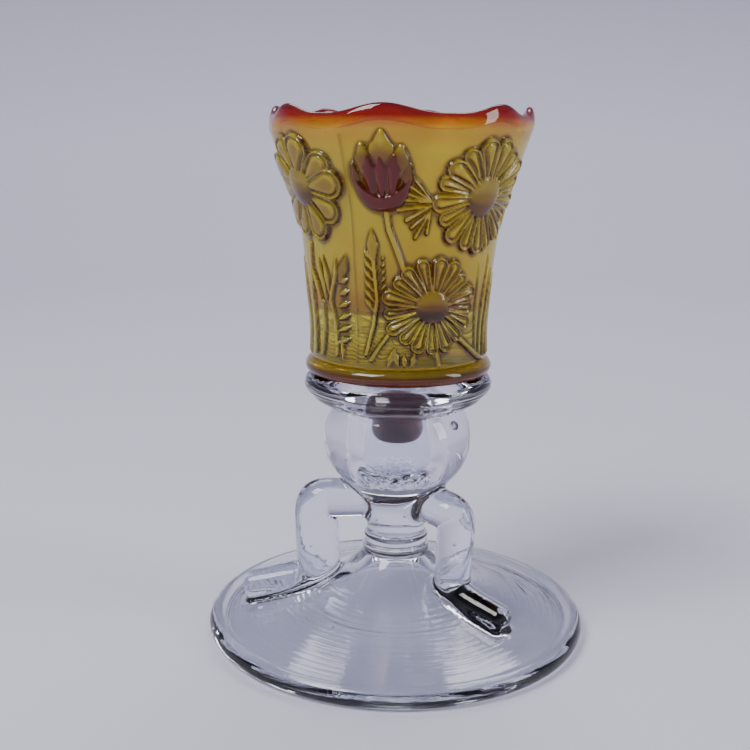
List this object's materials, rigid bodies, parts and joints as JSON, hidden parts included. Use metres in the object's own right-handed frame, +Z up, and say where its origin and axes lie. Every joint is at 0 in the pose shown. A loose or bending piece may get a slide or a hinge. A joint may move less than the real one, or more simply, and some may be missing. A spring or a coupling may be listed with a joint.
{
  "type": "glass candlestick",
  "caption": "Clear glass candlestick with a spread foot, bent side arms and a ball socket, holding a lift-out flared votive cup of amber to ruby glass with pressed flowers.",
  "frame": {"origin": "centre of the round foot on the plane that the candlestick stands on", "axes": "+Z up along the stem, socket and cup; -Y towards the front, where the flower low on the cup faces; +X to the right seen from the front"},
  "size_m": [0.1236, 0.1236, 0.1687],
  "materials": {
    "clear_glass": "clear fire-polished glass with a faint violet tint",
    "shaded_glass": "heat-struck pressed glass, ruby at the lip through orange to golden amber, dark maroon where thick"
  },
  "bodies": {
    "candlestick": {"spread_foot": "clear_glass", "stem_collar": "clear_glass", "stem_hub": "clear_glass", "left_arm": "clear_glass", "right_arm": "clear_glass", "socket_ball": "clear_glass", "drip_flange": "clear_glass"},
    "votive": {"votive_cup": "shaded_glass", "cup_foot": "shaded_glass", "votive_peg": "shaded_glass"}
  },
  "joints": [
    {"name": "cup_lift", "type": "slide", "parent": "candlestick", "child": "votive", "axis": [0, 0, 1], "range_m": [0, 0.05]}
  ]
}
